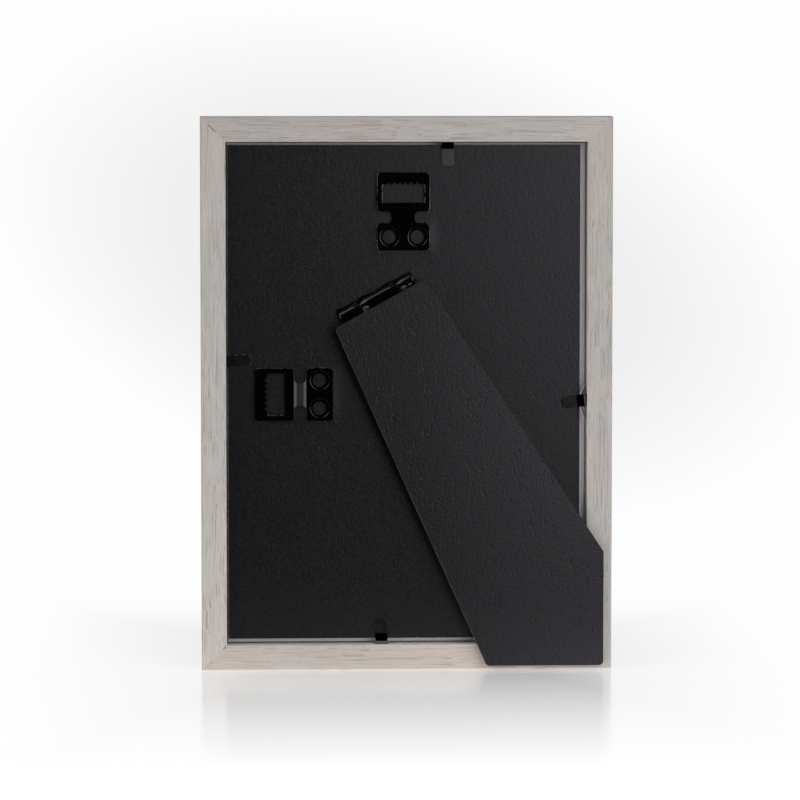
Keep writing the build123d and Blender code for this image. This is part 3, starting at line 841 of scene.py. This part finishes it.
def ease(shape, width, segments=2, choose=None, wear_and_light_value=1.0):
    """Round the sharp edges of a bmesh that pass a test, and set the attribute 'wear_and_light' on what is
    made.
    """
    wear_and_light = shape.faces.layers.float["wear_and_light"]
    sharp = [e for e in shape.edges if e.is_manifold and e.calc_face_angle(0.0) > SHARP_ANGLE]
    sharp = [e for e in sharp if all(face[wear_and_light] == 0.0 for face in e.link_faces)]
    if choose:
        sharp = [e for e in sharp if choose([corner.co for corner in e.verts])]
    made = bmesh.ops.bevel(
        shape,
        geom=sharp,
        offset=width,
        offset_type="OFFSET",
        segments=segments,
        profile=0.5,
        affect="EDGES",
        clamp_overlap=True,
    )
    for face in made["faces"]:
        face[wear_and_light] = wear_and_light_value
    return shape


def shaded_mesh(name, shape):
    """Turn a bmesh into a mesh that is smooth but for its sharp edges."""
    for face in shape.faces:
        face.smooth = True
    for edge in shape.edges:
        edge.smooth = edge.is_manifold and edge.calc_face_angle(0.0) < SHARP_ANGLE
    mesh = bpy.data.meshes.new(name)
    shape.to_mesh(mesh)
    shape.free()
    return mesh


def settle(piece, body, slot, *nodes):
    """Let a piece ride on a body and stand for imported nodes."""
    scene.collection.objects.link(piece)
    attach(piece, body)
    if nodes:
        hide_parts(*nodes)
    return piece


def finish_piece(name, shape, materials, body, slot, *nodes):
    """Turn a bmesh into a piece with its materials, on its body."""
    mesh = shaded_mesh(name, shape)
    for material in materials:
        mesh.materials.append(material)
    piece = bpy.data.objects.new(name, mesh)
    piece.modifiers.new("flat_faces", "WEIGHTED_NORMAL").keep_sharp = True
    return settle(piece, body, slot, *nodes)


print("easing helpers ready")

# %% [markdown]
# Each rail is cut to a mitre and glued, so the edges in the mitre stay sharp and meet without a groove.
# The edge that faces the opening is rounder than the rest and carries a painted highlight; the other
# eased edges carry a painted shade. Faces inside the rabbet get the raw board, with a painted shade at the
# top and painted light at the bottom and right.

# %% Rails
RAIL_EASE = 0.26 * MM
INNER_EASE = 0.30 * MM
GLAZING_PLAY = 0.5 * MM
FACE_SLACK = 0.05 * MM
NEAR = 0.02 * MM
glass_low, glass_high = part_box("glass_pane")
rabbet_low = glass_low - Vector((GLAZING_PLAY, 0, GLAZING_PLAY))
rabbet_high = glass_high + Vector((GLAZING_PLAY, 0, GLAZING_PLAY))
back_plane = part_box("rail_left")[0].y
wall_depth = rabbet_low.x - LEFT_SIDE


def from_sides(point):
    """How far a place is from the nearer side and from the nearer end of the frame."""
    return -LEFT_SIDE - abs(point.x), min(point.z, RAIL_TOP - point.z)


def inside_rabbet(point):
    """True for a place on the rabbet's walls or on the back of the lip."""
    across = rabbet_low.x - FACE_SLACK < point.x < rabbet_high.x + FACE_SLACK
    upright = rabbet_low.z - FACE_SLACK < point.z < rabbet_high.z + FACE_SLACK
    deep = back_plane + FACE_SLACK < point.y < glass_high.y + FACE_SLACK
    return across and upright and deep


def in_mitre(points):
    """True for an edge that lies in the plane of a mitre."""
    return all(abs(side - end) < NEAR for side, end in map(from_sides, points))


def on_inner_edge(points):
    """True for the edge between a rail's back and the wall of the rabbet."""
    at_back = all(abs(point.y - back_plane) < NEAR for point in points)
    at_wall = all(abs(min(from_sides(point)) - wall_depth) < NEAR for point in points)
    return at_back and at_wall and not in_mitre(points)


def make_rail(side):
    """One rail with eased edges, foil outside and raw board in the rabbet."""
    node = f"rail_{side}"
    # A painted highlight on the inner edge, then a painted shade on the other eased edges outside the mitre.
    shape = ease(welded_copy(node), INNER_EASE, 3, on_inner_edge)
    ease(shape, RAIL_EASE, 2, lambda points: not in_mitre(points), -1.0)
    for face in shape.faces:
        face.material_index = 1 if inside_rabbet(face.calc_center_median()) else 0
    finishes = [foils[side], rabbet_boards_by_light[side]]
    return finish_piece(f"foiled_{node}", shape, finishes, "frame", "wood_look_foil", node)


rails = [make_rail(side) for side in foils]
print("rails", [len(rail.data.polygons) for rail in rails])

# %% [markdown]
# The tabs, hangers and hinge leaves are stamped from sheet, so every edge is a little round and draws a
# thin line of light; on the hangers' long edges and on the left tab's upper edge and end, that line is
# also painted as a highlight. The teeth of the hangers are punched and their necks are drawn, and both stay
# sharp; two knuckles of the hinge are rolled thinner at one end, which bends the light along the barrel.

# %% Stamped steel
TAB_EASE = 0.22 * MM
HANGER_EASE = 0.28 * MM
LEAF_EASE = 0.14 * MM
SWELL_STARTS = (-6.05 * MM, 8.75 * MM)
SWELL_LENGTH = 2.8 * MM
SWELL_DROP = 0.60 * MM
SWELL_CUTS = 11
KNUCKLE_RADIUS = 1.95 * MM
FAINT_WEAR = 0.05
TAB_FACING = 0.3
HANGER_FACING = 0.2
CREASE_REACH = 3.2 * MM
CREASE_ALIGNED = 0.9
NECK_BENDS = (13.8 * MM, 14.7 * MM, 17.2 * MM, 18.1 * MM)
BEND_SLACK = 0.1 * MM
NECK_LEAN = 0.14 * MM
TOOTH_TOP = 2.9 * MM
TOOTH_FOOT = 4.5 * MM
TOOTH_ROW = 6.6 * MM
hanger_boxes = {place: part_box(f"hanger_{place}") for place in ("portrait", "landscape")}


def hanger_place(place, point):
    """A place on a hanger: how far down from the loop's outer edge, and how far from its middle line."""
    low, high = hanger_boxes[place]
    middle = (low + high) / 2
    if place == "portrait":
        return high.z - point.z, abs(point.x - middle.x)
    return point.x - low.x, abs(point.z - middle.z)


def off_neck_and_teeth(place):
    """A test that is true for edges of a hanger's loop and plate that aren't on its teeth."""
    def test(points):
        spots = [hanger_place(place, point) for point in points]
        teeth = all(TOOTH_TOP < down < TOOTH_FOOT and off < TOOTH_ROW for down, off in spots)
        loop = all(down < NECK_BENDS[0] - BEND_SLACK for down, off in spots)
        plate = all(down > NECK_BENDS[3] + BEND_SLACK for down, off in spots)
        return (loop or plate) and not teeth
    return test


def lean_neck(place, shape):
    """Lean the flat in the middle of a hanger's neck, as the bending tool does."""
    top, first, last, foot = NECK_BENDS
    for corner in shape.verts:
        down = hanger_place(place, corner.co)[0]
        if top < down < first:
            corner.co.y -= NECK_LEAN * (down - top) / (first - top)
        elif first <= down <= last:
            corner.co.y += NECK_LEAN * (2 * (down - first) / (last - first) - 1)
        elif last < down < foot:
            corner.co.y += NECK_LEAN * (foot - down) / (foot - last)
    return shape


def off_crease(side):
    """A test that is true for edges of a tab that don't run across it near its bend."""
    point, axis = joint_line(f"{side}_tab_bend")

    def test(points):
        start, end = points
        away = (start + end) / 2 - point
        reach = (away - axis * away.dot(axis)).length
        return reach > CREASE_REACH or abs((end - start).normalized().dot(axis)) < CREASE_ALIGNED
    return test


def tab_wear_and_highlight(side, shape):
    """Keep the painted highlight of the left tab on its upper edge and its end; other tabs keep their edges
    as marked.
    """
    wear_and_light = shape.faces.layers.float["wear_and_light"]
    shape.normal_update()
    for face in shape.faces:
        lit = side != "left" or max(face.normal.x, face.normal.z) > TAB_FACING
        face[wear_and_light] *= 1.0 if lit else FAINT_WEAR
    return shape


def hanger_highlight(place, shape):
    """Keep the painted highlight on the long edges that catch the light, and give the neck's flat its second
    material.
    """
    wear_and_light = shape.faces.layers.float["wear_and_light"]
    shape.normal_update()
    for face in shape.faces:
        facing = abs(face.normal.x) if place == "portrait" else face.normal.z
        face[wear_and_light] *= 1.0 if facing > HANGER_FACING else 0.0
        down = hanger_place(place, face.calc_center_median())[0]
        face.material_index = 1 if NECK_BENDS[1] < down < NECK_BENDS[2] else 0
    return shape


def on_barrel(corner):
    """A corner's place along the hinge and its way out from the pin, or nothing if it isn't on the barrel."""
    spot = corner.co - hinge_point
    along = spot.dot(hinge_along)
    outward = spot - hinge_along * along
    return (along, outward) if abs(outward.length - KNUCKLE_RADIUS) < NEAR else None


def swell_knuckles(shape):
    """Let two knuckles swell from a thinner left end, as sheet does when it is rolled in a worn tool."""
    ribs = [edge for edge in shape.edges if all(map(on_barrel, edge.verts))]
    ribs = [edge for edge in ribs if edge.calc_length() > SWELL_LENGTH]
    bmesh.ops.subdivide_edges(shape, edges=ribs, cuts=SWELL_CUTS, use_grid_fill=True)
    for corner in shape.verts:
        along, outward = on_barrel(corner) or (0.0, None)
        for start in SWELL_STARTS:
            part = (along - start + NEAR) / SWELL_LENGTH
            if outward and 0.0 <= part < 1.0:
                corner.co -= outward.normalized() * SWELL_DROP * (1.0 - part) ** 2
    return shape


for side, steel in tab_steel.items():
    shape = tab_wear_and_highlight(side, ease(welded_copy(f"tab_{side}"), TAB_EASE, 2, off_crease(side)))
    finish_piece(f"eased_tab_{side}", shape, [steel], f"{side}_tab", "black_spring_steel", f"tab_{side}")
for place, neck in (("portrait", black_lacquer), ("landscape", neck_lacquer)):
    node = f"hanger_{place}"
    shape = ease(lean_neck(place, welded_copy(node)), HANGER_EASE, 3, off_neck_and_teeth(place))
    hanger_highlight(place, shape)
    finish_piece(f"eased_{node}", shape, [black_lacquer, neck], "frame", "black_gloss_steel", node)
for leaf, body, lacquer in (("panel", "frame", hinge_lacquer), ("strut", "strut", strut_leaf_lacquer)):
    node = f"hinge_leaf_{leaf}"
    shape = ease(swell_knuckles(welded_copy(node)), LEAF_EASE, 2, None, FAINT_WEAR)
    finish_piece(f"eased_{node}", shape, [lacquer], body, "black_gloss_steel", node)
print("stamped pieces eased")

# %% [markdown]
# Where the right tab was driven into its rail, the board has split off a flake on each side of the tab.
# Each is a thin sliver that still hangs on the wall of the rabbet at one end and leans towards the back
# at the other, and the split behind it is a painted shadow, a dark wedge. Wedges with a few corners are
# enough for both. Each runs from the wall to the tab, and its ends are given as distances from the wall
# and heights from the frame's middle.

# %% Split flakes
FLAKE_DEPTHS = (0.45 * MM, 2.05 * MM)
FLAKE_HALVES = (0.07 * MM, 0.16 * MM)
FLAKE_LINES = (
    ((0.80 * MM, 3.0 * MM), (2.55 * MM, -0.1 * MM)),
    ((0.80 * MM, -8.4 * MM), (2.55 * MM, -5.0 * MM)),
)
# Dark wedges: the painted shadow in the split behind each flake.
SPLIT_SHADOW_LINES = (
    ((0.62 * MM, 3.2 * MM), (1.65 * MM, -0.1 * MM)),
    ((0.62 * MM, -8.8 * MM), (1.65 * MM, -5.0 * MM)),
)


def add_wedge(shape, line, index):
    """A tapered block along a line, with one of the piece's materials."""
    corners = []
    for depth in FLAKE_DEPTHS:
        for (off, up), half in zip(line, FLAKE_HALVES):
            for side in (-half, half):
                place = (rabbet_high.x - off + side, back_plane + depth, RAIL_TOP / 2 + up)
                corners.append(shape.verts.new(place))
    made = bmesh.ops.convex_hull(shape, input=corners)["geom"]
    for face in (item for item in made if isinstance(item, bmesh.types.BMFace)):
        face.material_index = index


def make_flakes():
    """Two thin slivers and behind each a dark wedge, the painted shadow of its split."""
    shape = bmesh.new()
    shape.faces.layers.float.new("wear_and_light")
    for index, lines in enumerate((FLAKE_LINES, SPLIT_SHADOW_LINES)):
        for line in lines:
            add_wedge(shape, line, index)
    bmesh.ops.recalc_face_normals(shape, faces=shape.faces)
    return finish_piece("split_flakes", shape, [dull_board, inked_and_shadow_board], "frame", "wood_look_foil")


flakes = make_flakes()
print("flakes", len(flakes.data.polygons), "faces")

# %% [markdown]
# The four eyelets are one turned shape, repeated. The shape is spun from its profile: a tube, a shallow
# dish and a rolled rim whose inner slope catches the lamps as thin crescents. A Geometry Nodes tree sets
# a pair of them on each hanger: the pair is a line of two points, and each hanger gets a copy, turned for
# the one on its side. The profile is radius and height in mm.

# %% Eyelets
EYELET_STEPS = 72
EYELET_PROFILE = (
    (2.50, -2.20), (2.50, 1.00), (2.80, 1.00), (3.10, 1.00), (3.34, 1.005), (3.42, 1.025),
    (3.48, 1.06), (3.53, 1.105), (3.57, 1.155), (3.60, 1.20), (3.62, 1.22), (3.64, 1.22), (3.65, 1.20),
    (3.65, 0.72), (3.63, 0.70), (2.90, 0.70), (2.90, -2.20),
)
panel_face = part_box("back_cover_paper")[0].y


def make_eyelet():
    """One eyelet at the origin, spun from its profile, with its flange towards the back."""
    shape = bmesh.new()
    ring = [shape.verts.new((radius * MM, -height * MM, 0.0)) for radius, height in EYELET_PROFILE]
    edges = [shape.edges.new((ring[index - 1], ring[index])) for index in range(len(ring))]
    around = {"axis": (0, 1, 0), "cent": (0, 0, 0), "angle": 2 * pi, "steps": EYELET_STEPS}
    bmesh.ops.spin(shape, geom=ring + edges, use_merge=True, **around)
    bmesh.ops.remove_doubles(shape, verts=shape.verts, dist=WELD)
    bmesh.ops.recalc_face_normals(shape, faces=shape.faces)
    return bpy.data.objects.new("one_eyelet", shaded_mesh("one_eyelet", shape))


def make_pairs_tree(material):
    """A Geometry Nodes tree that sets its shape in pairs on two seats, the second pair turned."""
    tree = bpy.data.node_groups.new("eyelet_pairs", "GeometryNodeTree")
    add_sockets(tree, "INPUT", "Geometry", "Shape")
    add_sockets(tree, "INPUT", "Float", "Spacing")
    add_sockets(tree, "INPUT", "Vector", "Upper Seat", "Side Seat")
    add_sockets(tree, "OUTPUT", "Geometry", "Pairs")
    given = tree.nodes.new("NodeGroupInput").outputs
    step = add(tree, "ShaderNodeCombineXYZ", None, {0: given["Spacing"]}).outputs[0]
    start = add(tree, "ShaderNodeVectorMath", {"operation": "SCALE"}, {0: step, "Scale": -0.5}).outputs[0]
    line_inputs = {"Count": 2, "Start Location": start, "Offset": step}
    line = add(tree, "GeometryNodeMeshLine", None, line_inputs).outputs[0]
    pair_inputs = {"Points": line, "Instance": given["Shape"]}
    pair = add(tree, "GeometryNodeInstanceOnPoints", None, pair_inputs).outputs[0]
    upper_inputs = {"Geometry": pair, "Translation": given["Upper Seat"]}
    side_inputs = {"Geometry": pair, "Translation": given["Side Seat"], "Rotation": (0.0, pi / 2, 0.0)}
    joined = tree.nodes.new("GeometryNodeJoinGeometry")
    for inputs in (upper_inputs, side_inputs):
        feed(tree, joined, {0: add(tree, "GeometryNodeTransform", None, inputs).outputs[0]})
    whole = add(tree, "GeometryNodeRealizeInstances", None, {0: joined.outputs[0]}).outputs[0]
    dressed = add(tree, "GeometryNodeSetMaterial", None, {"Geometry": whole, "Material": material}).outputs[0]
    add(tree, "NodeGroupOutput", None, {"Pairs": dressed})
    return tree


def seat_of(node):
    """The middle of a pair of packed eyelets, on the face of the back."""
    low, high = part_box(node)
    return (low.x + high.x) / 2, panel_face, (low.z + high.z) / 2


def make_eyelets():
    """All four eyelets as one plain mesh."""
    source = make_eyelet()
    scene.collection.objects.link(source)
    modifier = source.modifiers.new("pairs", "NODES")
    modifier.node_group = make_pairs_tree(black_lacquer)
    low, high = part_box("eyelets_portrait")
    values = {
        "Spacing": (high.x - low.x) - (high.z - low.z),
        "Upper Seat": seat_of("eyelets_portrait"),
        "Side Seat": seat_of("eyelets_landscape"),
    }
    for item in modifier.node_group.interface.items_tree:
        if item.name in values:
            modifier[item.identifier] = values[item.name]
    made = source.evaluated_get(bpy.context.evaluated_depsgraph_get())
    mesh = bpy.data.meshes.new_from_object(made)
    bpy.data.objects.remove(source)
    piece = bpy.data.objects.new("rolled_eyelets", mesh)
    return settle(piece, "frame", "black_gloss_steel", "eyelets_portrait", "eyelets_landscape")


eyelets = make_eyelets()
print("eyelets", len(eyelets.data.polygons), "faces")

# %% [markdown]
# The strut is a board with paper glued on and pressed over its edges, so its outline is soft. A painted
# highlight runs pale along the strut's long left edge, and the paper is dull along the others.

# %% Strut
STRUT_EASE = 0.3 * MM
PAPER_EASE = 0.18 * MM
STRUT_LEFT = Vector((-0.94, 0.0, -0.34))
STRUT_FACING = 0.3


def strut_highlight(shape):
    """Mark the eased edges that face left with a painted highlight, and the others as dull."""
    wear_and_light = shape.faces.layers.float["wear_and_light"]
    shape.normal_update()
    for face in shape.faces:
        if face[wear_and_light]:
            face[wear_and_light] = 1.0 if face.normal.dot(STRUT_LEFT) > STRUT_FACING else -1.0
    return shape


shape = ease(welded_copy("strut_board"), STRUT_EASE)
finish_piece("strut_core", shape, [inked_and_shadow_board], "strut", "fibre_board", "strut_board")
shape = strut_highlight(ease(welded_copy("strut_cover_paper"), PAPER_EASE))
finish_piece("strut_paper_cover", shape, [strut_paper], "strut", "embossed_black_paper", "strut_cover_paper")
print("strut dressed")

# %% [markdown]
# The eyelets pull the hangers' plates into the soft back, and the paper swells up round them in a low
# welt that is highest on the right, where it catches the light. So the back's paper is made anew as a
# thin sheet with a fine grid near the plates and a coarse one elsewhere. The grid's points are lifted by
# their distance from a plate. The sizes in this step are in mm.

# %% Back paper
WELT_HEIGHT = 0.17
WELT_END = 3.4
WELT_FALL = 1.6
WELT_BLEND = 2.0
WELT_REST = 0.25
FINE_CELL = 0.5
COARSE_CELL = 4.0
PLATE_LENGTH = 9.7
paper_low, paper_high = (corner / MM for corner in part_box("back_cover_paper"))
upper_low, upper_high = (corner / MM for corner in hanger_boxes["portrait"])
side_low, side_high = (corner / MM for corner in hanger_boxes["landscape"])
plates = (
    (upper_low.x, upper_high.x, upper_low.z, upper_low.z + PLATE_LENGTH),
    (side_high.x - PLATE_LENGTH, side_high.x, side_low.z, side_high.z),
)


def grid_lines(low, high, spans):
    """Places from low to high, close together inside the spans."""
    lines = [low]
    while lines[-1] < high - FINE_CELL / 2:
        here = lines[-1]
        step = FINE_CELL if any(start <= here < end for start, end in spans) else COARSE_CELL
        limits = [start for start, end in spans if here < start] + [high]
        lines.append(min(here + step, *limits))
    return lines[:-1] + [high]


def welt(x, z):
    """How far the paper swells at a place on the back."""
    swell = 0.0
    for left, right, bottom, top in plates:
        away = hypot(max(left - x, 0.0, x - right), max(bottom - z, 0.0, z - top))
        if away < WELT_END:
            share = min(max((x - right) / WELT_BLEND + 1.0, 0.0), 1.0)
            along = abs(2 * z - bottom - top) / (top - bottom + 2 * WELT_BLEND)
            height = WELT_REST + (1.0 - WELT_REST) * share * max(1.0 - along * along, 0.0)
            swell += WELT_HEIGHT * height * (1.0 - away / WELT_END) ** WELT_FALL
    return swell


def make_back_paper():
    """The back's paper as a closed sheet, with its welts."""
    spans_x = [(min(p[0] for p in plates) - WELT_END, max(p[1] for p in plates) + WELT_END)]
    spans_z = [(plate[2] - WELT_END, plate[3] + WELT_END) for plate in plates]
    across = grid_lines(paper_low.x, paper_high.x, spans_x)
    upright = grid_lines(paper_low.z, paper_high.z, spans_z)
    shape = bmesh.new()
    shape.faces.layers.float.new("wear_and_light")
    face_y = paper_low.y
    rows = [[shape.verts.new(Vector((x, face_y - welt(x, z), z)) * MM) for x in across] for z in upright]
    for lower, upper in zip(rows, rows[1:]):
        for left in range(len(across) - 1):
            shape.faces.new((lower[left], lower[left + 1], upper[left + 1], upper[left]))
    loop = rows[0] + [row[-1] for row in rows[1:]] + rows[-1][-2::-1] + [row[0] for row in rows[-2:0:-1]]
    under = [shape.verts.new((corner.co.x, paper_high.y * MM, corner.co.z)) for corner in loop]
    for index in range(len(loop)):
        shape.faces.new((loop[index - 1], under[index - 1], under[index], loop[index]))
    shape.faces.new(under[::-1])
    bmesh.ops.recalc_face_normals(shape, faces=shape.faces)
    slot = "embossed_black_paper"
    return finish_piece("back_paper", shape, [panel_paper], "frame", slot, "back_cover_paper")


back_paper = make_back_paper()
print("back paper", len(back_paper.data.polygons), "faces")
